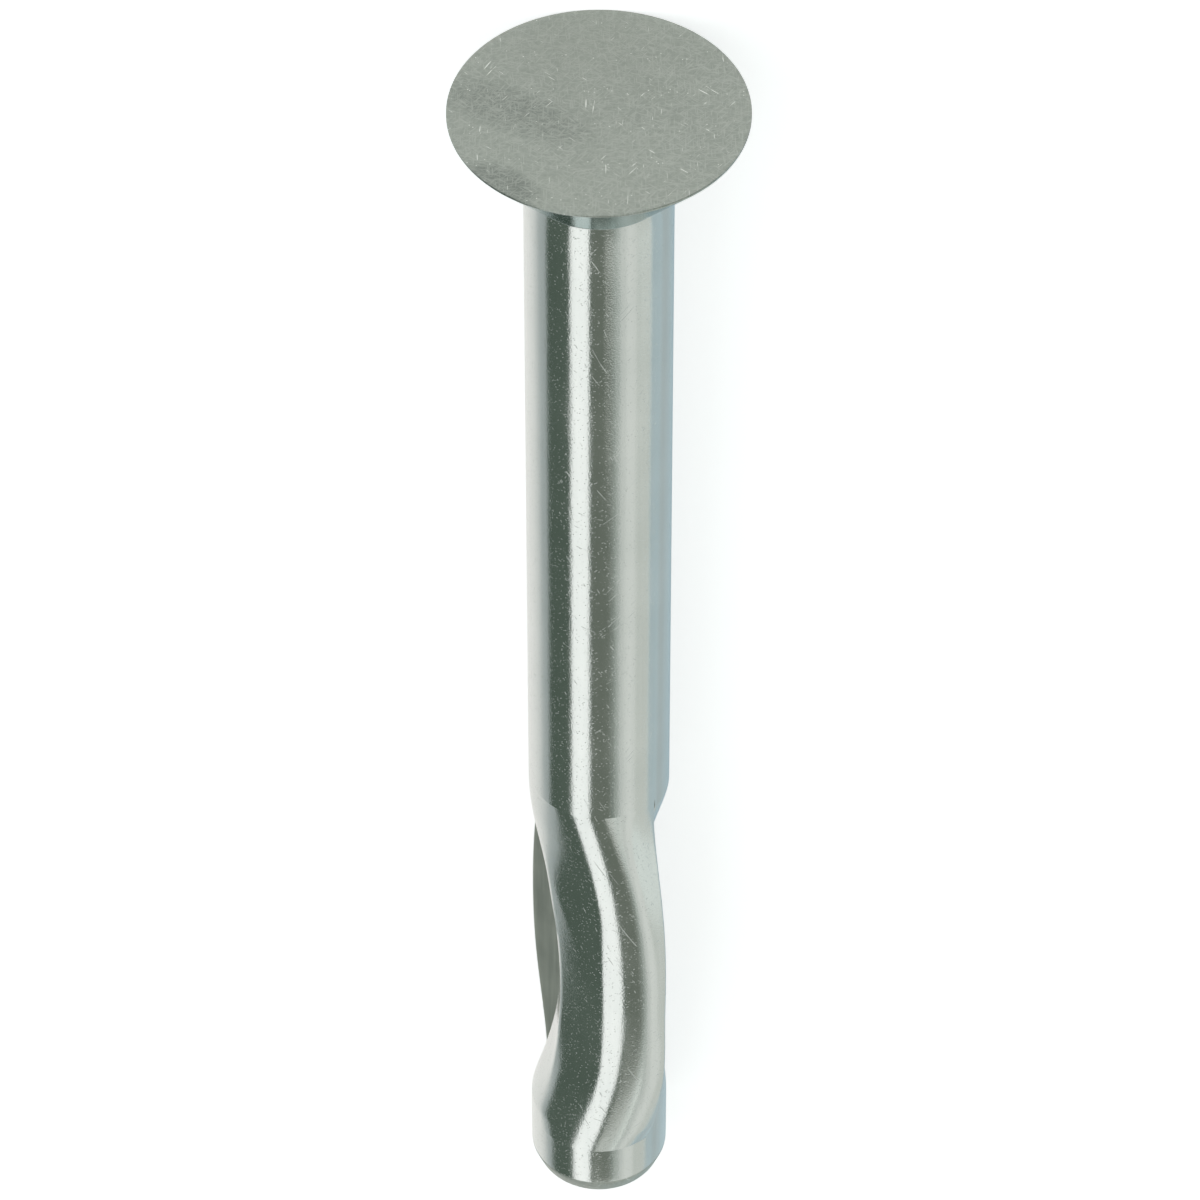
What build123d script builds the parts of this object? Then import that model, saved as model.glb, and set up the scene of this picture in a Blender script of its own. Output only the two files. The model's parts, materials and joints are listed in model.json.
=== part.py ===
"""Split-drive anchor: a one-piece steel pin with a countersunk head and a sheared, bowed expansion section.

The anchor is modelled as it lies on a level surface. Its own frame is the plane called anchor: the origin is
the middle of the head's flat top, +Z runs out of the head along the shank, and +X lies in the split between
the two legs. Depths are measured from the head's top towards the tip. All sizes are in millimetres.
"""

import math
import os

from build123d import *

# Driving dimensions
shank_diameter = 6.35
head_diameter = 12.67
head_cone_angle = 82.0
head_land = 0.1  # upright edge between the flat top and the cone
anchor_length = 66.23
tip_length = 4.03  # whole round bar below the legs, with its chamfer
leg_length = 21.8  # length over which the bar is sheared into two legs
tip_chamfer_length = 0.78
tip_chamfer_depth = 0.295
bow_height = 1.33  # how far each leg stands out of line
bow_rise_length = 12.7  # length from the upper end of the first leg to where it stands out most
bow_turn = 33.0  # angle from the split to the way that the legs bow, which squeezes them together
bow_start_angle = 1.0  # angle at which a leg leaves the shank
bow_end_angle = 2.0  # angle at which it meets the tip
start_softness = 0.27  # share of the rise over which a leg turns out of line with the shank
rise_softness = 0.52  # share of the rise over which it levels out at its highest point
fall_softness = 0.6  # share of the fall over which it leaves its highest point
end_softness = 0.1  # share of the fall over which it turns into line with the tip
split_shift = 0.23  # how far the split is off the axis at each of its ends, on opposite sides
split_gap = 0.04  # hairline between the two flat faces
lying_turn = 81.0  # turn of the lying anchor round its axis, from the first leg bowing straight up
roll_margin = 5.0  # least turn past the place where its lower leg would touch the surface

# Sizes that follow
shank_radius = shank_diameter / 2
head_radius = head_diameter / 2
cone_depth = (head_radius - shank_radius) / math.tan(math.radians(head_cone_angle / 2))
leg_end = anchor_length - tip_length
leg_start = leg_end - leg_length
bow_peak = leg_start + bow_rise_length
tip_rim = anchor_length - tip_chamfer_length
tip_face_radius = shank_radius - tip_chamfer_depth
leg_middle = (leg_start + leg_end) / 2
split_lean = math.degrees(math.atan2(2 * split_shift, leg_end - leg_start))

# Centre line of the first leg, as two curves of (distance out of line, -depth) that meet at its highest point
rise = bow_rise_length
fall = leg_length - bow_rise_length
start_reach = start_softness * rise
end_reach = end_softness * fall
rising_points = [
    (0, -leg_start),
    (start_reach * math.tan(math.radians(bow_start_angle)), -leg_start - start_reach),
    (bow_height, -bow_peak + rise_softness * rise),
    (bow_height, -bow_peak),
]
falling_points = [
    (bow_height, -bow_peak),
    (bow_height, -bow_peak - fall_softness * fall),
    (end_reach * math.tan(math.radians(bow_end_angle)), -leg_end + end_reach),
    (0, -leg_end),
]


def point_on(points, t):
    """Point at t, from 0 to 1, on the cubic curve with these four control points."""
    shares = ((1 - t) ** 3, 3 * t * (1 - t) ** 2, 3 * t**2 * (1 - t), t**3)
    return tuple(sum(share * point[i] for share, point in zip(shares, points)) for i in (0, 1))


# How the anchor lies: the rims of its head and its tip touch the surface, so the axis leans by this angle, and
# its legs bow almost level with each other, clear of the surface.
axis_lean = math.degrees(math.atan2(head_radius - shank_radius, tip_rim))
leg_points = [point_on(points, step / 40) for points in (rising_points, falling_points) for step in range(1, 40)]
contact_cosine = min(
    (head_radius - shank_radius) * (1 - (2 * leg_middle + axial) / tip_rim) / out for out, axial in leg_points
)
resting_roll = max(lying_turn, math.degrees(math.acos(contact_cosine)) + roll_margin)

# The origin is under the middle of the lying anchor
lean_cos = math.cos(math.radians(axis_lean))
lean_sin = math.sin(math.radians(axis_lean))
length_on_floor = anchor_length * lean_cos + (head_radius + tip_face_radius) * lean_sin
head_middle = (length_on_floor / 2 - head_radius * lean_sin, 0, head_radius * lean_cos)

lying = Plane(origin=head_middle, x_dir=(-lean_sin, 0, lean_cos), z_dir=(lean_cos, 0, lean_sin))
bow = Plane(lying * Rotation(0, 0, resting_roll))
anchor = Plane(bow * Rotation(0, 0, -bow_turn))
axis = Axis(anchor.origin, anchor.z_dir)
profile_plane = Plane(origin=anchor.origin, x_dir=anchor.x_dir, z_dir=-anchor.y_dir)
bow_plane = Plane(origin=bow.origin, x_dir=bow.x_dir, z_dir=-bow.y_dir)
leg_centre = anchor.offset(-leg_middle)
split_plane = Plane(leg_centre * Rotation(90 - split_lean, 0, 0)).offset(split_gap / 2)

# First leg: the round bar carried along its bowed centre line without turning, then cut along the split
with BuildPart() as leg:
    with BuildLine(bow_plane) as centre_line:
        Bezier(*rising_points)
        Bezier(*falling_points)
    with BuildSketch(anchor.offset(-leg_start)):
        Circle(shank_radius)
    sweep(path=centre_line.wire(), normal=anchor.z_dir)
    split(bisect_by=split_plane, keep=Keep.TOP)

# The second leg is the first one seen through the middle of the split
second_leg = leg.part.mirror(leg_centre).rotate(axis, 180)

# Head, shank, legs and tip are one piece of steel
with BuildPart() as split_drive_anchor:
    with BuildSketch(profile_plane):
        with BuildLine():
            Polyline(
                (0, 0),
                (head_radius, 0),
                (head_radius, -head_land),
                (shank_radius, -head_land - cone_depth),
                (shank_radius, -leg_start),
                (0, -leg_start),
                close=True,
            )
        make_face()
        with BuildLine():
            Polyline(
                (0, -leg_end),
                (shank_radius, -leg_end),
                (shank_radius, -tip_rim),
                (tip_face_radius, -anchor_length),
                (0, -anchor_length),
                close=True,
            )
        make_face()
    revolve(axis=axis)
    add(leg.part)
    add(second_leg)

split_drive_anchor.part.label = "split_drive_anchor"
os.makedirs("parts", exist_ok=True)
export_step(split_drive_anchor.part, "parts/split_drive_anchor.step")
print("lean", round(axis_lean, 3), "roll", round(resting_roll, 3), "length", round(length_on_floor, 3))
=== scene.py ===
# %% [markdown]
# # A split-drive anchor in zinc-plated steel
# This lesson dresses one small fastener: a steel pin that is hammered into a drilled hole. It has a
# countersunk head, a plain round shank and, near its tip, a place where the bar was sheared lengthways and
# its two halves were pressed past each other, so that they bow out and grip the hole. The measured model
# already exists as a frame. It could be shown as it is, but it has sharp edges and no finish. Here the
# frame is loaded, and its box is kept, so that the finished model can be compared with it.

# %% Load the frame
import json
import math

import bmesh
import bpy
import numpy as np
from mathutils import Matrix, Vector


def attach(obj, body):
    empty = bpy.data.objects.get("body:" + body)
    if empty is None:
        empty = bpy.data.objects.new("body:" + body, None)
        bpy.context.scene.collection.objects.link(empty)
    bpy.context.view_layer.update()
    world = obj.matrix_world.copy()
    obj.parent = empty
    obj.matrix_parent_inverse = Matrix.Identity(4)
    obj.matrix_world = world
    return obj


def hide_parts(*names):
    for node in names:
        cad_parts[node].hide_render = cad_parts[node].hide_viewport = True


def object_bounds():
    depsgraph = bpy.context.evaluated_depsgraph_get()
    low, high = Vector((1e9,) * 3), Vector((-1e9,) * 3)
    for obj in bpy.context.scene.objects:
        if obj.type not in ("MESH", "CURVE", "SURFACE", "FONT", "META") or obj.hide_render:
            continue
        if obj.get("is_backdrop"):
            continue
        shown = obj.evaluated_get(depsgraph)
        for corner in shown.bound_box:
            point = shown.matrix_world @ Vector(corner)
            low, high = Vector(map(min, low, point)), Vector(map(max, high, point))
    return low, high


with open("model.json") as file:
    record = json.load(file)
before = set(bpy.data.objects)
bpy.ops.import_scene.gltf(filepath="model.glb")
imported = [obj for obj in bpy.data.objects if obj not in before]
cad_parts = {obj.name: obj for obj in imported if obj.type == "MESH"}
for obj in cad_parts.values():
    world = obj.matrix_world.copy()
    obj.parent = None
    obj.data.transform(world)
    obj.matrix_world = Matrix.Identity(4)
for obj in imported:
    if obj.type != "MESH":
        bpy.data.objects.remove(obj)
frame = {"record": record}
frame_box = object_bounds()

record = frame["record"]
print("frame box", frame_box)

# %% [markdown]
# ## The anchor's own axes
# The anchor lies on its side, so its axis leans a little. It could be modelled where it lies, but it is
# easier to build it upright and to carry every point over at the end. Two fastening places in the record
# give all that is needed: the flat top of the head gives an origin and the axis, and the legs' entry gives
# the way that the first leg bows.

# %% Axes from the fastening places
MM = 0.001
mounts = {mount["name"]: mount for mount in record["mounts"]}
head_top = np.array(mounts["head_top"]["pos_m"])
out_of_head = np.array(mounts["head_top"]["axis"])
out_of_head /= np.linalg.norm(out_of_head)
bow_way = np.array(mounts["expansion_legs"]["axis"])
bow_way -= out_of_head * (bow_way @ out_of_head)
bow_way /= np.linalg.norm(bow_way)
bow_across = np.cross(out_of_head, bow_way)


def turned(angle):
    """Unit vector square to the axis, so many degrees round from the way that the first leg bows.

    It is the cosine of the angle times that way, plus the sine times the way across it.
    """
    a = math.radians(angle)
    return math.cos(a) * bow_way + math.sin(a) * bow_across


print("axis", out_of_head.round(4), "bow", bow_way.round(4))

# %% [markdown]
# ## Sizes
# These are the sizes of the real fastener in millimetres. Depths run from the top of the head to the tip.
# The head's rim and neck get a very small radius, because no real edge is perfectly sharp and the small
# round catches the light. A Bevel modifier could do it, but rounds written into the profile keep the sizes
# exact.

# %% Sizes in millimetres
shank_radius = mounts["tip_pilot"]["dims"]["r_mm"]
head_radius, head_cone_angle, head_land = 6.335, 82.0, 0.1
rim_round, neck_round = 0.03, 0.08
leg_start, leg_end = 40.4, 62.2
crease_start, crease_end = 39.9, 63.1  # where the press tool marked the bar, just beyond the legs
tip_rim, tip_face_radius = 65.45, 2.88
anchor_length = 66.23
print("head", 2 * head_radius, "shank", 2 * shank_radius, "length", anchor_length)

# %% [markdown]
# ## The line that a leg follows
# Each leg is the round bar carried sideways along a bowed line, without turning. A Bezier curve object
# could hold that line, but a leg's section changes along it, so the line is worked out here. It is two
# cubic curves that meet at its highest point, and a cubic curve is a blend of four points.


# %% Centre line of a leg
def cubic(points, t):
    """Blend of four control points: (1-t)^3, 3t(1-t)^2, 3t^2(1-t) and t^3 times each."""
    p = np.asarray(points, float)
    t = t[:, None]
    return (1 - t) ** 3 * p[0] + 3 * t * (1 - t) ** 2 * p[1] + 3 * t**2 * (1 - t) * p[2] + t**3 * p[3]


def bowed(start, peak, end, height, angles, reaches):
    """Depths and distances out of line of a bow: two cubic curves that meet level at the peak.

    Its ends leave the axis at the two angles. The four reaches are the shares of the rise and of the fall
    over which the curve keeps its way at the start, at the peak from both sides, and at the end.
    """
    rise, fall = peak - start, end - peak
    near, far = reaches[0] * rise, reaches[3] * fall
    rising = [
        (start, 0),
        (start + near, near * math.tan(math.radians(angles[0]))),
        (peak - reaches[1] * rise, height),
        (peak, height),
    ]
    falling = [
        (peak, height),
        (peak + reaches[2] * fall, height),
        (end - far, far * math.tan(math.radians(angles[1]))),
        (end, 0),
    ]
    t = np.linspace(0, 1, 400)
    line = np.concatenate([cubic(rising, t), cubic(falling, t)[1:]])
    return line[:, 0], line[:, 1]


bow_height, bow_peak, bow_turn = 1.33, 53.1, 33.0
bow_angles, bow_softness = (1.0, 2.0), (0.27, 0.52, 0.6, 0.1)
line_depth, line_out = bowed(leg_start, bow_peak, leg_end, bow_height, bow_angles, bow_softness)
split_way, split_across = turned(-bow_turn), turned(90 - bow_turn)
print("leg stands out", line_out.max().round(3), "mm at depth", line_depth[line_out.argmax()].round(1))

# %% [markdown]
# ## The line that the pressed face follows
# The press did more than bow a leg. It dragged the leg's outer face a little farther than the rest, and
# left a crease in the bar at each end. A crease could be cut in as an edge, but a second bowed line gives
# both marks at once: it leaves the bar at a steep angle, and it stands out more than the leg's own line.

# %% Line of the pressed face
press_height, press_turn = 1.56, 29.0
press_angles, press_softness = (14.0, 15.0), (0.27, 0.5, 0.45, 0.3)
press_depth, press_out = bowed(crease_start, bow_peak, crease_end, press_height, press_angles, press_softness)
print("pressed face is dragged up to", press_out.max().round(2), "mm")

# %% [markdown]
# ## Soft helpers
# A mirror shows every corner in a surface, even one too slight to feel. Two smooth helpers keep the skin
# clean: one steps from 0 to 1 without a corner, and the other takes the lesser of two shapes and rounds the
# place where they cross. A Smooth modifier would round such places too, but it would move the rest as well.


# %% Soft step and soft minimum
def soft_step(value):
    """Smooth rise from 0 to 1: 3x^2 - 2x^3, with x held between 0 and 1."""
    x = np.clip(value, 0, 1)
    return x * x * (3 - 2 * x)


def soft_minimum(first, second, soft):
    """The lesser of two values, rounded where they cross: -s log(exp(-a/s) + exp(-b/s))."""
    least = np.minimum(first, second)
    return least - soft * np.log(1 + np.exp(-np.abs(first - second) / soft))


print("half of a soft step", soft_step(0.5))

# %% [markdown]
# ## The flattened face
# The tool also flattened what it pushed. The front of the outer face follows a wider circle than the bar's,
# and its left side is straight. It could be sculpted, but a mirror shows every bump of a sculpted face. So
# the face is given as a radius, which depends on the angle round the arc and on the depth.

# %% Radius of the flattened face
front_radius, front_start, front_depth, front_softness = 14.0, -36.5, 0.06, 0.012
side_reach, corner_softness = 3.11, 0.02
least_sine = 0.05  # keeps the side's distance finite where it faces the viewer
face_turn = 42.0  # the face's angles count from this far round the leg's arc, in degrees
flat_start, flat_growth = 42.3, 5.8
flat_end, flat_fading = 62.0, 7.0
back_start, back_growth = -112.0, 25.0  # the flattening begins at this angle and grows over so many degrees


def flattened(arc, depth):
    """Distance from the middle of the bar to its pressed outer face, for angles round the arc and depths.

    The face follows a circle of the larger radius R that lies front_depth inside the bar's circle of
    radius r at the angle front_start. At the angle a past it that is (r - R) cos a + sqrt(R^2 - (R - r)^2
    sin^2 a) less front_depth. On its right it runs out into the bar's circle, by a soft minimum. On its
    left it ends at a straight side, side_reach / sin of the angle. The flattening grows and fades along
    the leg, and fades round the arc before the split.
    """
    r, big = shank_radius, front_radius
    angle = arc - math.radians(face_turn)
    past = angle - math.radians(front_start)
    front = (r - big) * np.cos(past) + np.sqrt(big**2 - (big - r) ** 2 * np.sin(past) ** 2) - front_depth
    front = np.where(past > 0, soft_minimum(front, r, front_softness), front)
    side = side_reach / np.maximum(-np.sin(angle), least_sine)
    face = soft_minimum(front, side, corner_softness) - r
    along = soft_step((depth - flat_start) / flat_growth) * soft_step((flat_end - depth) / flat_fading)
    return r + face * along * soft_step((np.degrees(angle) - back_start) / back_growth)


left_side = flattened(math.radians(face_turn - 80), bow_peak)
print("left side flattened by", (shank_radius - left_side).round(3), "mm at the peak")

# %% [markdown]
# ## How much of each leg was dragged
# The tool caught only the part of a leg's skin that faced it, so the drag begins softly some way round the
# arc and eases off before the far edge. Weight painting could say this on a finished mesh. A formula does
# it for any number of points, and its numbers can be read.

# %% Share of the drag round a section
arc_steps, round_steps, chord_steps = 96, 5, 24
around_round = np.linspace(0, 1, round_steps + 1)[1:]
along_chord = np.linspace(1, -1, chord_steps + 1)[1:-1]
drag_start, drag_growth = -30.0, 38.0  # degrees round the arc
peak_delay, peak_power = 35.0, 2.5  # the drag begins this much later where the leg stands out most
tip_delay, tip_delay_start, tip_delay_growth = 10.0, 57.0, 4.0  # and later again from this depth on
far_start, far_fading = 46.0, 40.0  # degrees round the arc
far_edge_growth = 6.0  # length past the peak over which the far edge gets a drag of its own


def drag_shares(arc, depth, out, far_edge_drag):
    """Share of the drag at each point of the sections.

    Round the arc it is a soft step up over drag_growth degrees, times a soft step down over far_fading
    degrees that stops at the far edge's own share. That share goes round the far edge, falls evenly to 0
    along the chord and is 0 round the near edge.
    """
    degrees = np.degrees(arc)
    far_edge = far_edge_drag * soft_step((depth - bow_peak) / far_edge_growth)[:, None]
    begins = drag_start + peak_delay * (out / bow_height)[:, None] ** peak_power
    begins = begins + tip_delay * soft_step((depth - tip_delay_start) / tip_delay_growth)[:, None]
    eased_off = (1 - far_edge) * soft_step((degrees - far_start) / far_fading)
    on_arc = soft_step((degrees - begins) / drag_growth) * (1 - eased_off)
    on_round = np.repeat(on_arc[:, -1:], round_steps, 1)
    on_chord = on_arc[:, -1:] * (along_chord + 1) / 2
    return np.concatenate([on_arc, on_round, on_chord, np.zeros(on_round.shape)], 1)


print("points round a section", arc_steps + 1 + 2 * round_steps + len(along_chord))

# %% [markdown]
# ## Outline of a leg
# At each depth a leg's section is a circle cut by the split: an arc, a straight chord and two tiny rounds
# that join them. Cutting a cylinder with a Boolean would leave long thin faces, which a mirror shows. So
# the outline is worked out point by point, with the same number of points at every depth.

# %% Outline of a leg's section
split_shift, split_gap, gap_growth = 0.23, 0.04, 0.3
edge_round, edge_round_growth = 0.09, 1.6


def cut_by_split(depth, across):
    """How far the split is from the middle of each section, and the radius of the edges' small rounds.

    The split runs evenly from one side of the axis to the other, less half its gap. The gap and the rounds
    fall to nothing at both ends, where the legs join the whole bar.
    """
    share = (depth - leg_start) / (leg_end - leg_start)
    from_end = np.minimum(depth - depth[0], depth[-1] - depth)
    split_at = split_shift * (1 - 2 * share) - split_gap / 2 * np.clip(from_end / gap_growth, 0, 1)
    return across - split_at, edge_round * soft_step(from_end / edge_round_growth)


def outline(h, rho, depth):
    """Angles round the arc, and the points (u, v) of the sections about their own middles.

    A section is the arc of the bar's circle beyond the split, a small round of radius rho, the chord, and
    the same round again. The arc ends at the angle whose cosine is (h + rho) / (r - rho), where h is how
    far the split is from the circle's centre. On the arc the radius is that of the flattened face.
    """
    r = shank_radius
    beta = np.arccos((h + rho) / (r - rho))
    round_x = np.sqrt((r - rho) ** 2 - (h + rho) ** 2)
    arc = beta[:, None] * np.linspace(-1, 1, arc_steps + 1)
    arc_radius = flattened(arc, depth[:, None])
    bend = beta[:, None] + (math.pi - beta)[:, None] * around_round
    round_u = round_x[:, None] + rho[:, None] * np.sin(bend)
    round_v = (h + rho)[:, None] + rho[:, None] * np.cos(bend)
    chord_u = round_x[:, None] * along_chord
    chord_v = np.broadcast_to(h[:, None], chord_u.shape)
    u = np.concatenate([arc_radius * np.sin(arc), round_u, chord_u, -round_u[:, ::-1]], 1)
    v = np.concatenate([arc_radius * np.cos(arc), round_v, chord_v, round_v[:, ::-1]], 1)
    return arc, u, v


print("edge round", edge_round, "mm, split gap", split_gap, "mm")

# %% [markdown]
# ## One leg as a surface
# The leg's skin is a function of two parameters, the depth and the way round the outline. A Curve object
# with a bevel profile would turn the outline as it follows the bow, and the real leg wasn't turned: it was
# pushed sideways. So each outline is only moved, by the leg's own line and by its share of the press's
# drag.

# %% Sections of a leg
drag_from_end = 0.05


def leg_sections(depth, far_edge_drag):
    """Points of a leg, as an array (depths, points round the section, 3).

    Each outline is moved by the leg's line, the way that it bows. Then each point moves on by the
    difference between the pressed line and the leg's line, times its share of the drag, the way that the
    press went.
    """
    out = np.interp(depth, line_depth, line_out)
    along, across = out * math.cos(math.radians(bow_turn)), out * math.sin(math.radians(bow_turn))
    h, rho = cut_by_split(depth, across)
    arc, u, v = outline(h, rho, depth)
    from_end = np.minimum(depth - depth[0], depth[-1] - depth)
    drag = (np.interp(depth, press_depth, press_out) - out) * soft_step(from_end / drag_from_end)
    dragged = drag[:, None] * drag_shares(arc, depth, out, far_edge_drag)
    u = u + along[:, None] + math.cos(math.radians(press_turn)) * dragged
    v = across[:, None] - v + math.sin(math.radians(press_turn)) * dragged
    return np.stack([u, v, np.broadcast_to(-depth[:, None], u.shape)], -1)


print("pressed face goes", press_turn, "degrees round from the split, the leg", bow_turn)

# %% [markdown]
# ## Both legs
# The shearing tool treats both halves alike, so the second leg is the first one seen through the middle of
# the split. A Mirror modifier flips across a plane, which would bow both legs the same way. Taking every
# point to the far side of one middle point is what the tool does. The depths lie closer together at the two
# ends, where the surface bends most, and only the first leg's far edge was dragged along.

# %% Both legs
leg_rows = 170
first_far_edge_drag, second_far_edge_drag = 1.4, 0.0


def seen_through_middle(points):
    """Each point carried through the middle of the split: twice that middle less the point."""
    middle_of_split = np.array([0, 0, -(leg_start + leg_end) / 2])
    return (2 * middle_of_split - points)[::-1]


eased = (1 - np.cos(np.linspace(0, math.pi, leg_rows))) / 2
leg_depths = crease_start + (crease_end - crease_start) * eased
facing_depths = (leg_start + leg_end - leg_depths)[::-1]
first_leg = leg_sections(leg_depths, first_far_edge_drag)
second_leg = seen_through_middle(leg_sections(facing_depths, second_far_edge_drag))
print("each leg", first_leg.shape[:2], "points")

# %% [markdown]
# ## Turned shapes
# Head, shank and tip are round, so each is a profile carried round the axis. The Spin tool would do that
# with even steps. Here the rings use the very angles at which the legs' arcs begin and end, so that the
# parts can be welded without a gap.


# %% Helpers for turned shapes
def ring_angles(end):
    """Angles round the axis of the bar's edge where both legs start (end 0) or finish (end -1)."""
    first = first_leg[end, : arc_steps + 1]
    second = second_leg[end, : arc_steps + 1]
    edge = np.concatenate([first, second[1:-1]])
    angles = np.arctan2(edge[:, 1], edge[:, 0])
    return np.unique(angles.round(9))


def rounded(centre, radius, start, end, steps):
    """Points (distance from the axis, height) of an arc round a centre, from one angle to another."""
    a = np.radians(np.linspace(start, end, steps + 1))
    return np.stack([centre[0] + radius * np.cos(a), centre[1] + radius * np.sin(a)], 1)


def turned_part(profile, angles):
    """Surface of revolution: (radius cos a, radius sin a, height) over the profile and the ring's angles."""
    x = profile[:, :1] * np.cos(angles)
    y = profile[:, :1] * np.sin(angles)
    return np.stack([x, y, np.broadcast_to(profile[:, 1:], x.shape)], -1)


print("angles in a ring", len(ring_angles(0)), "at the shank and", len(ring_angles(-1)), "at the tip")

# %% [markdown]
# ## Head and shank
# The head was struck cold: a flat top, a short upright land at its rim, and a cone that seats in a
# countersunk hole. One profile takes it from the middle of the top, round the rim, down the cone and along
# the shank to the upper crease. The rows where one finish gives way to the next are noted on the way.

# %% Head and shank
half_cone = head_cone_angle / 2
cone_end = head_land + (head_radius - shank_radius) / math.tan(math.radians(half_cone))
neck_centre = (shank_radius + neck_round, -cone_end - neck_round * math.tan(math.radians(half_cone / 2)))
rim_centre_x = head_radius - rim_round
ring_gap = 0.02  # length of the last short row before a weld

top = np.concatenate([[(0, 0)], np.linspace((0.7, 0), (5.9, 0), 9)])
top = np.concatenate([top, rounded((rim_centre_x, -rim_round), rim_round, 90, 0, 5)])
land = rounded((rim_centre_x, -head_land), rim_round, 0, half_cone - 90, 5)[1:]
neck = rounded(neck_centre, neck_round, 180 - half_cone, 180, 8)
shank = np.linspace((shank_radius, -cone_end - 1), (shank_radius, -crease_start + ring_gap), 40)
head_profile = np.concatenate([top, land, neck, shank, [(shank_radius, -crease_start)]])
land_row = len(top)
neck_row = len(top) + len(land) + len(neck) // 2
head_and_shank = turned_part(head_profile, ring_angles(0))
print("head and shank", head_and_shank.shape[:2], "cone ends at depth", round(cone_end, 2))

# %% [markdown]
# ## Tip
# Below the legs the bar is whole again. Its end was chopped off and a narrow chamfer was rolled round it,
# so that the anchor finds its hole. The profile runs from the lower crease to the middle of the end, with a
# few hundredths of a millimetre taken off both edges of the chamfer.

# %% Tip
tip_bar = np.linspace((shank_radius, -crease_end - ring_gap), (shank_radius, -tip_rim + 0.1), 8)
tip_bar = np.concatenate([[(shank_radius, -crease_end)], tip_bar])
chamfer = [
    (shank_radius - 0.006, -tip_rim),
    (shank_radius - 0.03, -tip_rim - 0.08),
    (tip_face_radius + 0.03, -anchor_length + 0.08),
    (tip_face_radius - 0.01, -anchor_length + 0.01),
]
end_face = [(x, -anchor_length) for x in (tip_face_radius - 0.08, 2.2, 1.4, 0.7, 0.0)]
tip_profile = np.concatenate([tip_bar, chamfer, end_face])
chamfer_row = len(tip_bar) - 1
end_row = chamfer_row + len(chamfer)
tip = turned_part(tip_profile, ring_angles(-1))
print("tip", tip.shape[:2])

# %% [markdown]
# ## Faces and their finishes
# The steel has four looks: the bright drawn bar, the head's cone in a copy of that zinc with painted shade,
# the satin top and chamfer, and the dull faces that were sheared or chopped. Faces could be picked by hand
# in edit mode. Here a face's row and column in its grid already say what it is on the real anchor, so they
# choose its finish.

# %% Faces of the grids
DRAWN, SATIN, SHEARED, CONE = 0, 1, 2, 3
chord_column = arc_steps + round_steps


def grid_faces(rows, columns, first):
    """Quads between neighbouring rows of a grid whose columns close into a ring."""
    r, c = np.meshgrid(np.arange(rows - 1), np.arange(columns), indexing="ij")
    a, b = r * columns + c, r * columns + (c + 1) % columns
    return np.stack([a, b, b + columns, a + columns], -1).reshape(-1, 4) + first


def laid(points):
    """Points of the anchor's own frame, in millimetres, carried to the lying anchor in metres."""
    p = points.reshape(-1, 3) * MM
    return head_top + p[:, :1] * split_way + p[:, 1:2] * split_across + p[:, 2:] * out_of_head


def finishes(grid):
    """Number of the finish of each face of a grid, by its row on a turned part and its column on a leg."""
    rows, columns = grid.shape[:2]
    row = np.repeat(np.arange(rows - 1), columns)
    column = np.tile(np.arange(columns), rows - 1)
    if grid is head_and_shank:
        return np.where(row < land_row, SATIN, np.where(row < neck_row, CONE, DRAWN))
    if grid is tip:
        return np.where(row >= end_row, SHEARED, np.where(row >= chamfer_row, SATIN, DRAWN))
    return np.where((column >= chord_column) & (column < columns - round_steps), SHEARED, DRAWN)


grids = (head_and_shank, first_leg, second_leg, tip)
vertices, faces, finish, first = [], [], [], 0
for grid in grids:
    vertices.append(laid(grid))
    faces.append(grid_faces(*grid.shape[:2], first))
    finish.append(finishes(grid))
    first += grid.shape[0] * grid.shape[1]
print("grids", len(grids), "points", first)

# %% [markdown]
# ## One closed skin
# The real anchor is one piece of steel, so it becomes one closed mesh. Four meshes that only touch would
# show hairlines and could leak. Points that fall together are welded, the normals are turned outwards, and
# edges sharper than a set angle stay crisp while the rest is smooth.

# %% Weld the grids into one mesh
weld_distance, least_edge, sharp_angle = 2e-7, 1e-8, 28

mesh = bpy.data.meshes.new("anchor_skin")
mesh.from_pydata(np.concatenate(vertices).tolist(), [], np.concatenate(faces).tolist())
mesh.polygons.foreach_set("material_index", np.concatenate(finish).astype(np.int32))
skin = bmesh.new()
skin.from_mesh(mesh)
bmesh.ops.remove_doubles(skin, verts=skin.verts, dist=weld_distance)
bmesh.ops.dissolve_degenerate(skin, edges=skin.edges, dist=least_edge)
bmesh.ops.recalc_face_normals(skin, faces=skin.faces)
open_edges = sum(1 for edge in skin.edges if not edge.is_manifold)
volume = skin.calc_volume(signed=True)
skin.to_mesh(mesh)
skin.free()
mesh.polygons.foreach_set("use_smooth", np.ones(len(mesh.polygons), dtype=bool))
mesh.set_sharp_from_angle(angle=math.radians(sharp_angle))
anchor = bpy.data.objects.new("anchor_body", mesh)
bpy.context.scene.collection.objects.link(anchor)
print("faces", len(mesh.polygons), "open edges", open_edges, "volume mm3", round(volume / MM**3, 1))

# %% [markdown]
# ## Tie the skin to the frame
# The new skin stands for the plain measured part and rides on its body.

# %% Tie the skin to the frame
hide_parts("split_drive_anchor")
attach(anchor, "root")
print(anchor.name, "rides on root")

# %% [markdown]
# ## Materials from nodes
# Bright zinc is a mirror with a slight haze, and an image texture would stretch over it and blur close up.
# Node patterns have no such limit. All of them read Object coordinates, so they stay on the steel when the
# anchor is moved. A few small helpers keep the node trees short enough to read.


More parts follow.
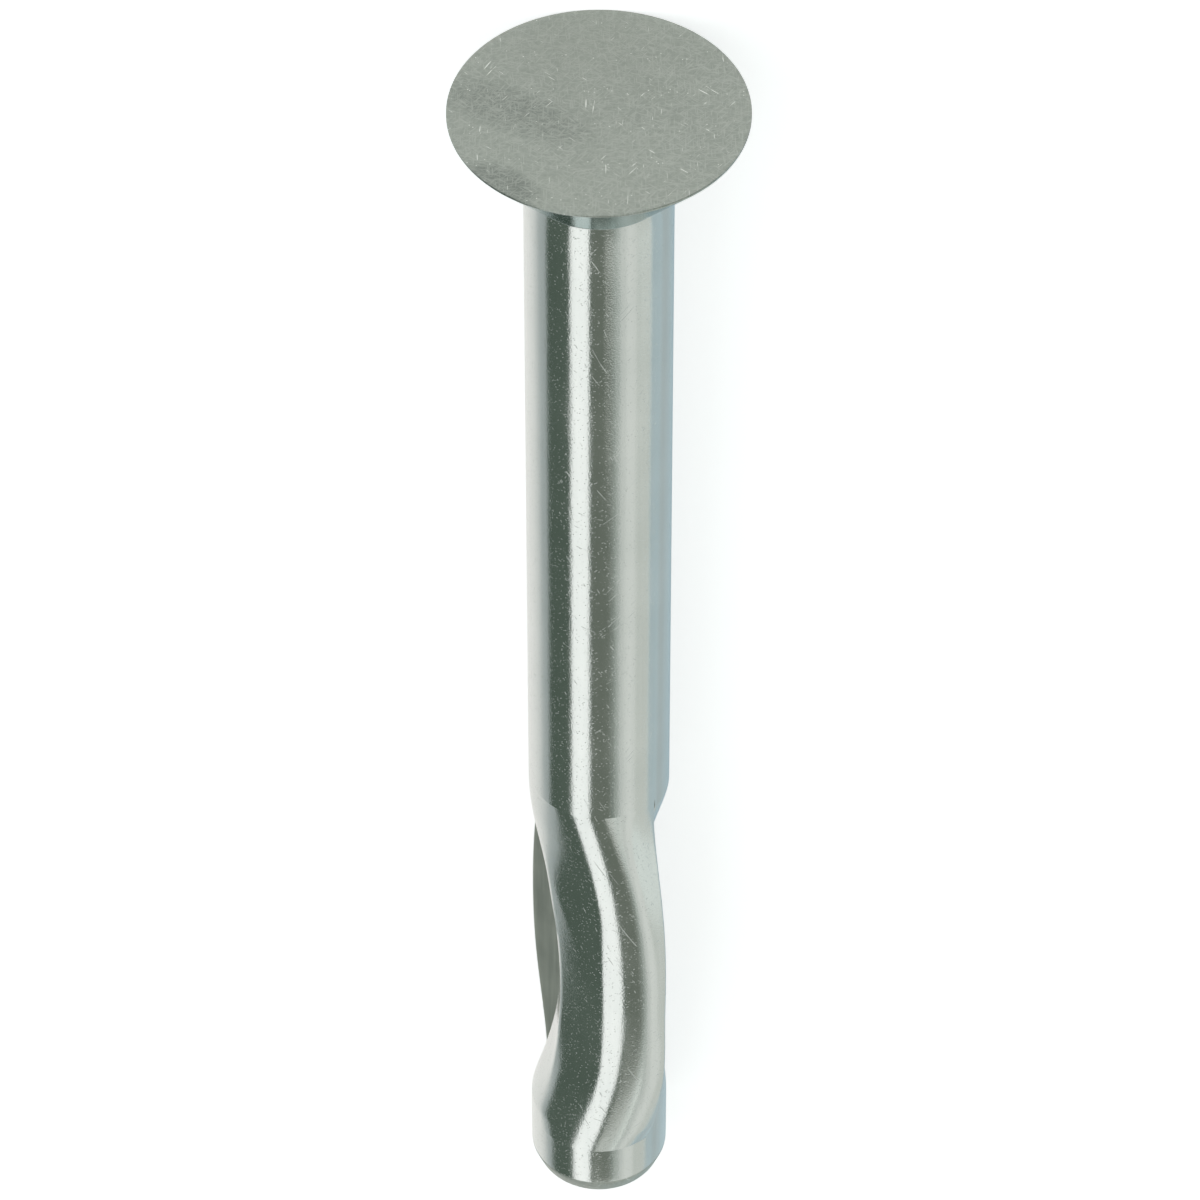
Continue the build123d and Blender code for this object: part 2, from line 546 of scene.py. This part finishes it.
# %% Helpers for node materials
def new_material(name, metallic):
    """An empty material: itself, its node tree, its Principled shader and its Object coordinates."""
    material = bpy.data.materials.new(name)
    material.use_nodes = True
    tree = material.node_tree
    shader = tree.nodes["Principled BSDF"]
    shader.inputs["Metallic"].default_value = metallic
    return material, tree, shader, tree.nodes.new("ShaderNodeTexCoord").outputs["Object"]


def node(tree, kind, **values):
    """A node of this kind, whose properties and inputs are set by name."""
    made = tree.nodes.new(kind)
    for key, value in values.items():
        if key in made.inputs:
            made.inputs[key].default_value = value
        else:
            setattr(made, key, value)
    return made


print("material helpers ready")

# %% [markdown]
# ## Patterns
# Grain, streaks and clouds are all noise: fine or coarse, and stretched along the way that a tool moved. A
# ramp turns the noise into tones, and a bump node lets the light catch it. Real displacement would say the
# same, but these marks are only a few thousandths of a millimetre deep.


# %% Noise, ramp and bump
def noise(tree, coordinates, scale, detail=2.0, stretch=None, turn=(0, 0, 0)):
    """Noise on Object coordinates, stretched along one way if asked."""
    source = coordinates
    if stretch:
        mapping = node(tree, "ShaderNodeMapping", vector_type="TEXTURE", Scale=stretch, Rotation=turn)
        tree.links.new(coordinates, mapping.inputs["Vector"])
        source = mapping.outputs["Vector"]
    made = node(tree, "ShaderNodeTexNoise", Scale=scale, Detail=detail)
    tree.links.new(source, made.inputs["Vector"])
    return made.outputs["Fac"]


def ramp(tree, value, stops):
    """Colour ramp over a value, from stops of (place, grey or colour)."""
    made = tree.nodes.new("ShaderNodeValToRGB")
    elements = made.color_ramp.elements
    while len(elements) < len(stops):
        elements.new(0.5)
    for element, (place, colour) in zip(elements, stops):
        element.position = place
        element.color = (colour, colour, colour, 1) if isinstance(colour, (int, float)) else (*colour, 1)
    tree.links.new(value, made.inputs["Fac"])
    return made.outputs["Color"]


def bump_by(tree, shader, height, strength):
    """Bump on a shader, where a height of 1 stands for a hundredth of a millimetre at full strength."""
    bump = node(tree, "ShaderNodeBump", Strength=strength, Distance=0.01 * MM)
    tree.links.new(height, bump.inputs["Height"])
    tree.links.new(bump.outputs["Normal"], shader.inputs["Normal"])


print("pattern helpers ready")

# %% [markdown]
# ## Sums with nodes
# A finish is a recipe: so much of this pattern and so much of that. Math nodes could be wired by hand for
# each one. Four helpers say the same in one line: cut a value off softly, join two values, add several by
# their shares, and lay one colour over another.


# %% Helpers for values and colours
def cut(tree, value, start, end, top=1.0):
    """Soft step of a value, from 0 at start to top at end, either way round."""
    made = node(tree, "ShaderNodeMapRange", interpolation_type="SMOOTHSTEP")
    made.inputs["From Min"].default_value = start
    made.inputs["From Max"].default_value = end
    made.inputs["To Max"].default_value = top
    tree.links.new(value, made.inputs["Value"])
    return made.outputs["Result"]


def join(tree, operation, first, second):
    """Result of a math operation on two values, of which the second may be a plain number."""
    made = node(tree, "ShaderNodeMath", operation=operation)
    tree.links.new(first, made.inputs[0])
    if isinstance(second, (int, float)):
        made.inputs[1].default_value = second
    else:
        tree.links.new(second, made.inputs[1])
    return made.outputs["Value"]


def weighted(tree, *parts):
    """Sum of values, each times its share."""
    total = None
    for value, share in parts:
        part = join(tree, "MULTIPLY", value, share)
        total = part if total is None else join(tree, "ADD", total, part)
    return total


def laid_over(tree, under, colour, share):
    """A colour laid over another: colour times the share plus what is under it times the rest."""
    made = node(tree, "ShaderNodeMix", data_type="RGBA", blend_type="MIX")
    tree.links.new(share, made.inputs["Factor"])
    tree.links.new(under, made.inputs["A"])
    made.inputs["B"].default_value = (*colour, 1)
    return made.outputs["Result"]


print("sums ready")

# %% [markdown]
# ## Hair scratches
# Scratches are where the eye checks whether metal is real. A scratch is rough, so it shows the whole room
# at once: it looks pale where the steel mirrors something dark and almost vanishes in a bright band.
# Thousands of thin curves could be drawn, but long thin noise, cut off near its top, gives the same short
# hairs. Several such layers, turned different ways and slightly curved, make a random web.

# %% Hairs
curl_scale, curl_reach = 160.0, 0.0010


def bent(tree, coordinates, scale, reach):
    """Coordinates pushed about by noise, so that straight marks become slightly curved."""
    push = node(tree, "ShaderNodeTexNoise", Scale=scale, Detail=1.0)
    tree.links.new(coordinates, push.inputs["Vector"])
    shift = node(tree, "ShaderNodeVectorMath", operation="MULTIPLY_ADD")
    shift.inputs[1].default_value = (reach, reach, reach)
    tree.links.new(push.outputs["Color"], shift.inputs[0])
    tree.links.new(coordinates, shift.inputs[2])
    return shift.outputs["Vector"]


def hairs(tree, coordinates, scale, stretch, turns, start, end):
    """Web of hair scratches: the strongest of several stretched noises, each turned another way."""
    curved = bent(tree, coordinates, curl_scale, curl_reach)
    web = None
    for turn in turns:
        streak = noise(tree, curved, scale, 1.0, stretch, turn)
        mark = cut(tree, streak, start, end)
        web = mark if web is None else join(tree, "MAXIMUM", web, mark)
    return web


print("hairs ready")

# %% [markdown]
# ## Specks
# Pits and dust are round and sparse. Scattered spheres could stand for them, but there are thousands. A
# Voronoi texture has a cell for each, and only the cells whose random colour is high enough show one, so
# the rest stays clean.

# %% Specks
speck_heart = 0.6  # share of a speck's size at which it is full
picking_edge = 0.01


def specks(tree, coordinates, scale, size, share):
    """Small round marks: the heart of some Voronoi cells, picked by the cell's own random colour."""
    cells = node(tree, "ShaderNodeTexVoronoi", Scale=scale)
    tree.links.new(coordinates, cells.inputs["Vector"])
    near = cut(tree, cells.outputs["Distance"], size, size * speck_heart)
    random_colour = node(tree, "ShaderNodeSeparateColor")
    tree.links.new(cells.outputs["Color"], random_colour.inputs["Color"])
    picked = cut(tree, random_colour.outputs[0], 1 - share, 1 - share + picking_edge)
    return join(tree, "MULTIPLY", near, picked)


print("specks are full over", speck_heart, "of their size")

# %% [markdown]
# ## Soft patches of painted shade
# Two places on the head's top are darker. This is painted shade, not wear. They could be painted, but a
# painted map has a fixed sharpness. Each one is a soft oval instead, set by its place, its turn and its
# two half-widths.

# %% Soft patches of painted shade
view_turn = 9.0  # way to the viewer's right, in degrees round from the first leg's bow


def painted_shade_patch(tree, coordinates, centre, turn_angle, long, short):
    """Soft oval patch of painted shade on the head's top: a soft step of 1 - a^2 - b^2.

    Here a and b are the distances from its centre along its long and its short way, as shares of its
    half-widths. The centre is so many mm to the viewer's right and away from the viewer.
    """
    to_right, back = turned(view_turn), np.cross(out_of_head, turned(view_turn))
    from_centre = node(tree, "ShaderNodeVectorMath", operation="SUBTRACT")
    centre_point = head_top + MM * (centre[0] * to_right + centre[1] * back)
    from_centre.inputs[1].default_value = tuple(centre_point)
    tree.links.new(coordinates, from_centre.inputs[0])
    t = math.radians(turn_angle)
    long_way = math.cos(t) * to_right - math.sin(t) * back
    short_way = math.sin(t) * to_right + math.cos(t) * back
    squares = []
    for way, half_width in ((long_way, long), (short_way, short)):
        share = node(tree, "ShaderNodeVectorMath", operation="DOT_PRODUCT")
        share.inputs[1].default_value = tuple(way / (half_width * MM))
        tree.links.new(from_centre.outputs["Vector"], share.inputs[0])
        squares.append(join(tree, "MULTIPLY", share.outputs["Value"], share.outputs["Value"]))
    return cut(tree, join(tree, "ADD", *squares), 1.0, 0.0)


print("patches are placed", view_turn, "degrees round from the first leg's bow")

# %% [markdown]
# ## Drawn and plated steel
# The shank was drawn through a die and then plated. Its zinc is a mirror with a faint cool tint: Metallic 1
# makes the reflection carry the colour. A smooth mirror would look like chrome. So very fine grain in the
# bump breaks up the edges of the bright bands, streaks along the bar are what the die left, and the
# scratches come from lying in a box with a hundred others. The head's cone is seen at a very flat angle,
# where it mirrors darker, so it has a shaded copy of the same zinc: a dark blue-grey tint at flat angles
# that is painted shade on what it mirrors.

# %% Bright zinc of shank, cone, legs and tip
along_axis = (0.0, math.radians(-2.76), 0.0)  # turns a pattern's length from level to the leaning axis
scratch_ways = [(0.3, 0.0, 0.5), (0.9, 0.1, 1.2), (0.2, 0.2, -0.7), (1.4, -0.15, 2.2)]
base_roughness = 0.085


def bright_zinc(name, graze_shade_tint):
    """Bright zinc-plated steel. The grazing tint colours what it mirrors at the flattest angles; on the cone
    it is painted shade.
    """
    made, tree, shader, place = new_material(name, 1.0)
    shader.inputs["Specular Tint"].default_value = (*graze_shade_tint, 1)
    cloud = noise(tree, place, scale=260.0, detail=4.0)
    die_lines = noise(tree, place, scale=5200.0, stretch=(60.0, 1.0, 1.0), turn=along_axis)
    tone = weighted(tree, (cloud, 0.7), (die_lines, 0.3))
    zinc = ramp(tree, tone, [(0.35, (0.63, 0.66, 0.65)), (0.65, (0.69, 0.715, 0.705))])
    tree.links.new(zinc, shader.inputs["Base Color"])
    scratches = hairs(tree, place, 13000.0, stretch=(70, 1, 1), turns=scratch_ways, start=0.72, end=0.80)
    dots = specks(tree, place, 11500.0, size=0.34, share=0.12)
    marks = join(tree, "MAXIMUM", scratches, dots)
    haze = cut(tree, cloud, start=0.3, end=0.8, top=0.06)
    rough = weighted(tree, (haze, 1.0), (die_lines, 0.04), (marks, 0.22))
    tree.links.new(join(tree, "ADD", rough, base_roughness), shader.inputs["Roughness"])
    grain = noise(tree, place, scale=13000.0)
    ripple = noise(tree, place, scale=2600.0, stretch=(5.0, 1.0, 1.0), turn=along_axis)
    height = weighted(tree, (grain, 0.38), (ripple, 0.25), (marks, -0.33))
    bump_by(tree, shader, height, strength=1.0)
    print(name, len(tree.nodes), "nodes")
    return made


drawn = bright_zinc("drawn_zinc_steel", (1.0, 1.0, 1.0))
# The cone's copy of the zinc carries painted shade: a dark blue-grey tint on what it mirrors.
cone = bright_zinc("head_cone_painted_shade_steel", (0.55, 0.64, 0.64))

# %% [markdown]
# ## Satin top of the head
# The head's top was struck flat and tumbled. It is crossed by countless fine hairs in every direction, with
# a few brighter nicks, and cloudy where it was rubbed more. It mirrors nothing clearly. High roughness
# alone would look like grey paint, so the hairs are laid over it in both colour and bump.

# %% Satin top of the head
satin, tree, shader, place = new_material("satin_head_top", 1.0)
rubbed = noise(tree, place, scale=170.0, detail=1.5)
mottle = noise(tree, place, scale=5200.0, detail=5.0)
# The two ovals below are painted shade: they darken the head's top in two places.
left_painted_shade = painted_shade_patch(tree, place, centre=(-3.5, 0.0), turn_angle=30.0, long=4.4, short=1.6)
corner_painted_shade = painted_shade_patch(tree, place, centre=(-3.9, -4.4), turn_angle=38.0, long=2.2, short=1.1)
shade = weighted(tree, (left_painted_shade, 1.0), (corner_painted_shade, 1.9))
tone = weighted(tree, (rubbed, 0.5), (mottle, 0.5), (shade, -0.27))
base = ramp(tree, tone, [(0.1, (0.29, 0.317, 0.297)), (0.75, (0.50, 0.535, 0.50))])

ways = [(turn, 0.0, 0.0) for turn in (0.2, 0.9, 1.6, 2.4, 2.9)]
web = hairs(tree, place, 21000.0, stretch=(60, 14, 1), turns=ways, start=0.56, end=0.70)
nicks = hairs(tree, place, 16000.0, stretch=(70, 16, 1), turns=ways[1:4], start=0.75, end=0.80)
dots = specks(tree, place, 9500.0, size=0.30, share=0.03)
bright = join(tree, "MAXIMUM", nicks, dots)
haired = laid_over(tree, base, (0.60, 0.63, 0.60), join(tree, "MULTIPLY", web, 0.50))
nicked = laid_over(tree, haired, (0.92, 0.94, 0.92), bright)
tree.links.new(nicked, shader.inputs["Base Color"])
tree.links.new(ramp(tree, rubbed, [(0.3, 0.36), (0.7, 0.5)]), shader.inputs["Roughness"])
height = weighted(tree, (mottle, 0.6), (web, -0.6), (bright, -1.0))
bump_by(tree, shader, height, strength=0.22)
print("satin top", len(tree.nodes), "nodes")

# %% [markdown]
# ## Sheared faces
# Where the bar was sheared lengthways the steel tore. The face is dull and darker, with fine grain and
# faint drag lines along the shear. Turning the zinc's roughness up would lose those lines, so the face has
# its own material. The chopped end of the tip has the same finish.

# %% Dull sheared faces
sheared, tree, shader, place = new_material("sheared_face", 1.0)
torn = noise(tree, place, scale=520.0, detail=5.0)
drag_lines = noise(tree, place, scale=4200.0, stretch=(18.0, 1.0, 1.0), turn=along_axis)
tone = weighted(tree, (torn, 0.55), (drag_lines, 0.45))
dull = ramp(tree, tone, [(0.34, (0.375, 0.405, 0.37)), (0.66, (0.52, 0.55, 0.505))])
tree.links.new(dull, shader.inputs["Base Color"])
tree.links.new(ramp(tree, torn, [(0.3, 0.46), (0.7, 0.6)]), shader.inputs["Roughness"])
bump_by(tree, shader, tone, strength=0.3)
print("sheared face", len(tree.nodes), "nodes")

# %% [markdown]
# ## Give each face its finish
# The faces already hold the numbers of their finishes, so the materials only have to be added in that
# order.

# %% Finishes in the order of their numbers
for material in (drawn, satin, sheared, cone):
    mesh.materials.append(material)
print("finishes", [material.name for material in mesh.materials])

# %% [markdown]
# ## Camera
# The camera looks down on the lying anchor from above and beyond its head. A short lens would make the
# shank taper, so it stands far off behind a long lens. Its place is worked out from the anchor's own axes:
# its distance and rise from a point on the axis, and a small shift of what it looks at.

# %% Camera
view_rise = math.radians(46.22)
view_distance, view_middle = 338.4 * MM, 31.75 * MM
aim_up, aim_right = 1.863 * MM, 0.046 * MM

right = turned(view_turn)
away = np.cross(out_of_head, right)
forward = math.cos(view_rise) * away - math.sin(view_rise) * out_of_head
upward = np.cross(right, forward)
middle = head_top - view_middle * out_of_head
eye = middle - view_distance * forward
looking = middle + aim_up * upward + aim_right * right - eye
looking /= np.linalg.norm(looking)
side = np.cross(looking, upward)
side /= np.linalg.norm(side)
rise = np.cross(side, looking)

camera_data = bpy.data.cameras.new("camera")
camera_data.lens, camera_data.sensor_width = 228.8, 36.0
camera_data.clip_start, camera_data.clip_end = 0.01, 10.0
camera = bpy.data.objects.new("camera", camera_data)
turn = Matrix((side, rise, -looking)).transposed().to_4x4()
camera.matrix_world = Matrix.Translation(Vector(eye)) @ turn
bpy.context.scene.collection.objects.link(camera)
bpy.context.scene.camera = camera
print("camera height mm", round(eye[2] / MM, 1))

# %% [markdown]
# ## Floor
# The anchor lies on a wide sheet of pale, slightly cool paper. A curved backdrop isn't needed, because the
# camera looks down and sees nothing but the sheet.

# %% Floor
sheet_half = 3.0
corners = [(x * sheet_half, y * sheet_half, 0) for x, y in ((-1, -1), (1, -1), (1, 1), (-1, 1))]
floor_mesh = bpy.data.meshes.new("floor")
floor_mesh.from_pydata(corners, [], [(0, 1, 2, 3)])
floor = bpy.data.objects.new("floor", floor_mesh)
bpy.context.scene.collection.objects.link(floor)
floor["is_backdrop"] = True
print("floor", 2 * sheet_half, "m wide")

# %% [markdown]
# ## Where mirrors see light on the paper
# The bar mirrors the paper as bands, like the light of a window with a clear left edge. More lamps could
# draw them, but they would also light the steel's dull parts. So the paper itself glows for mirrors only,
# by the distance from the anchor. On the left the glow is strongest beside the anchor and fades outwards,
# on the right it comes in stripes, and past the head it is plain and warm.

# %% Glow of the paper by place
left_level, past_head_level = 0.42, 0.30
right_stripes = [(0.10, 0.18), (0.15, 0.12), (0.21, 0.06), (0.27, 0.06), (0.34, 0.15), (0.8, 0.13)]
stripes_width = 0.06
head_blend = 0.004

paper, tree, shader, place = new_material("white_paper", 0.0)
shader.inputs["Base Color"].default_value = (0.76, 0.80, 0.83, 1)
shader.inputs["Roughness"].default_value = 0.9
shader.inputs["Specular IOR Level"].default_value = 0.0


def distance_along(way):
    """Distance of a point of the paper along a way: the dot product of the two."""
    made = node(tree, "ShaderNodeVectorMath", operation="DOT_PRODUCT")
    made.inputs[1].default_value = tuple(way)
    tree.links.new(place, made.inputs[0])
    return made.outputs["Value"]


sideways, lengthways = distance_along(right), distance_along(out_of_head)
head_place = float(head_top @ out_of_head)
below_head = cut(tree, lengthways, head_place, head_place - head_blend)
beyond_head = cut(tree, lengthways, head_place - head_blend, head_place)
on_right = cut(tree, sideways, -0.001, 0.004)
left_rise = cut(tree, sideways, -0.032, -0.006, left_level)
left_glow = join(tree, "SUBTRACT", left_rise, join(tree, "MULTIPLY", on_right, left_level))
left_glow = join(tree, "MAXIMUM", left_glow, 0.0)
stripes = ramp(tree, join(tree, "DIVIDE", sideways, stripes_width), right_stripes)
right_glow = join(tree, "MULTIPLY", on_right, stripes)
print("paper glows for mirrors up to", left_level, "on the left and", right_stripes[0][1], "on the right")

# %% [markdown]
# ## What the camera sees of the paper
# The background is to be white with only the anchor's soft shadow on it. Stronger lamps would burn out the
# steel too. The Light Path node tells a camera ray from one that left a mirror, so the camera's view of the
# paper is lifted to white while the light in the room stays as it is.

# %% Light of the paper by kind of ray
camera_lift = 0.60


def glow(strength, colour):
    """Emission of a colour, as strong as a value."""
    made = node(tree, "ShaderNodeEmission", Color=(*colour, 1))
    tree.links.new(strength, made.inputs["Strength"])
    return made.outputs[0]


def both(first, second):
    """Sum of two shaders."""
    made = tree.nodes.new("ShaderNodeAddShader")
    tree.links.new(first, made.inputs[0])
    tree.links.new(second, made.inputs[1])
    return made.outputs[0]


rays = tree.nodes.new("ShaderNodeLightPath")
to_camera = join(tree, "MULTIPLY", rays.outputs["Is Camera Ray"], camera_lift)
in_mirrors = join(tree, "MAXIMUM", rays.outputs["Is Glossy Ray"], rays.outputs["Is Transmission Ray"])
beside = join(tree, "MULTIPLY", in_mirrors, below_head)
beyond = join(tree, "MULTIPLY", in_mirrors, beyond_head)
seen = glow(to_camera, (1.02, 1.0, 1.0))
seen = both(seen, glow(join(tree, "MULTIPLY", beside, left_glow), (1.12, 1.0, 0.94)))
seen = both(seen, glow(join(tree, "MULTIPLY", beside, right_glow), (0.5, 0.93, 1.2)))
seen = both(seen, glow(join(tree, "MULTIPLY", beyond, past_head_level), (1.1, 1.0, 0.9)))
tree.links.new(both(shader.outputs[0], seen), tree.nodes["Material Output"].inputs["Surface"])
floor_mesh.materials.append(paper)
print("paper", len(tree.nodes), "nodes")

# %% [markdown]
# ## Room
# Metal shows its surroundings, so they matter more than the lamps' power. A panorama wrapped round the
# scene would bring in things that aren't there. A plain dim grey-green room fills the dark bands instead.

# %% Room
room = bpy.data.worlds.new("room")
room.use_nodes = True
surroundings = room.node_tree.nodes["Background"]
surroundings.inputs["Color"].default_value = (0.103, 0.136, 0.109, 1)
surroundings.inputs["Strength"].default_value = 1.0
bpy.context.scene.world = room
print("room", room.name)

# %% [markdown]
# ## Soft boxes
# Long soft boxes lie along the anchor, and each one becomes a bright band down the shank. One large lamp
# would give one even sheen. An area lamp is set by its size and power in Blender, but here it is easier to
# say which angles it covers, seen from the anchor, and how bright the steel looks where it mirrors it.

# %% One soft box
box_distance = 0.42


def soft_box(name, start, end, low, high, level, colour):
    """Area lamp whose long side runs along the anchor, at box_distance from its axis.

    From the anchor it spans the angles start to end round the axis, 0 being the viewer's side, and low to
    high along it, below 0 being towards the tip. Its width is twice the distance times the tangent of
    half the first span, its length is the distance times (tan high - tan low), and a power of pi times
    its area makes a level of 1.
    """
    a = math.radians((start + end) / 2)
    outwards = math.cos(a) * -away + math.sin(a) * right
    width = 2 * box_distance * math.tan(math.radians(end - start) / 2)
    rise_low, rise_high = math.tan(math.radians(low)), math.tan(math.radians(high))
    length = box_distance * (rise_high - rise_low)
    data = bpy.data.lights.new(name, "AREA")
    data.shape, data.size, data.size_y = "RECTANGLE", width, length
    data.energy, data.color = level * math.pi * width * length, colour
    lamp = bpy.data.objects.new(name, data)
    centre = middle + box_distance * (outwards + (rise_low + rise_high) / 2 * out_of_head)
    across = np.cross(out_of_head, outwards)
    turn = Matrix((across, out_of_head, outwards)).transposed().to_4x4()
    lamp.matrix_world = Matrix.Translation(Vector(centre)) @ turn
    bpy.context.scene.collection.objects.link(lamp)
    return lamp


print("soft boxes stand", box_distance, "m from the axis")

# %% [markdown]
# ## Bands of light
# Each lamp has one job on the steel. band_box draws the white line and dim_box the dark middle. The side
# boxes draw the grey right side, which grows step by step, and blue_box its cool edge. The patch boxes
# light the creases, where the pressed face tips towards them, tip_box the whole tip, and key_box the head's
# top and the paper. A table keeps them side by side, so that one band can be changed without touching the
# rest.

# %% Boxes round the anchor
boxes = [
    # name, start and end round the axis, low and high along it, level, colour
    ("band_box", -45, -15, -72, -12, 1.15, (1.0, 0.98, 0.975)),
    ("dim_box", -12, 20, -80, -10, 0.07, (1.0, 0.85, 0.75)),
    ("side_box_1", 18, 25, -75, -18, 0.14, (0.98, 1.0, 0.95)),
    ("side_box_2", 25, 33, -75, -18, 0.37, (0.99, 1.0, 0.96)),
    ("side_box_3", 33, 42, -75, -18, 0.62, (1.0, 0.985, 0.96)),
    ("side_box_4", 42, 60, -75, -18, 0.74, (1.0, 0.98, 0.955)),
    ("side_box_5", 60, 88, -75, -18, 0.61, (0.985, 0.975, 0.935)),
    ("blue_box", 88, 94, -75, -18, 0.60, (0.68, 0.93, 1.0)),
    ("patch_box_1", 9, 25, -40.3, -12, 0.56, (1.0, 1.0, 0.97)),
    ("patch_box_2", 25, 34, -40.3, -12, 0.28, (1.0, 1.0, 0.97)),
    ("patch_box_3", 60, 86, -40.5, -12, 0.22, (0.85, 0.97, 1.0)),
    ("tip_box", -9, 30, -80, -55, 0.50, (1.0, 1.0, 0.97)),
    ("key_box", -60, 30, 8, 58, 1.3, (1.0, 0.99, 0.97)),
]
lamps = [soft_box(*box) for box in boxes]
print("lamps", [lamp.name for lamp in lamps])

# %% [markdown]
# ## Compare the boxes and finish
# A part has to keep its measured size, whatever its finish.

# %% Sizes and finish
bpy.context.scene.view_settings.view_transform = "Standard"
sizes = {"frame": [list(map(float, corner)) for corner in frame_box]}
sizes["model"] = [list(map(float, corner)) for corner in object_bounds()]
size_change = np.ptp(sizes["model"], axis=0) - np.ptp(sizes["frame"], axis=0)
print("model larger than the frame by", (size_change / MM).round(4), "mm")
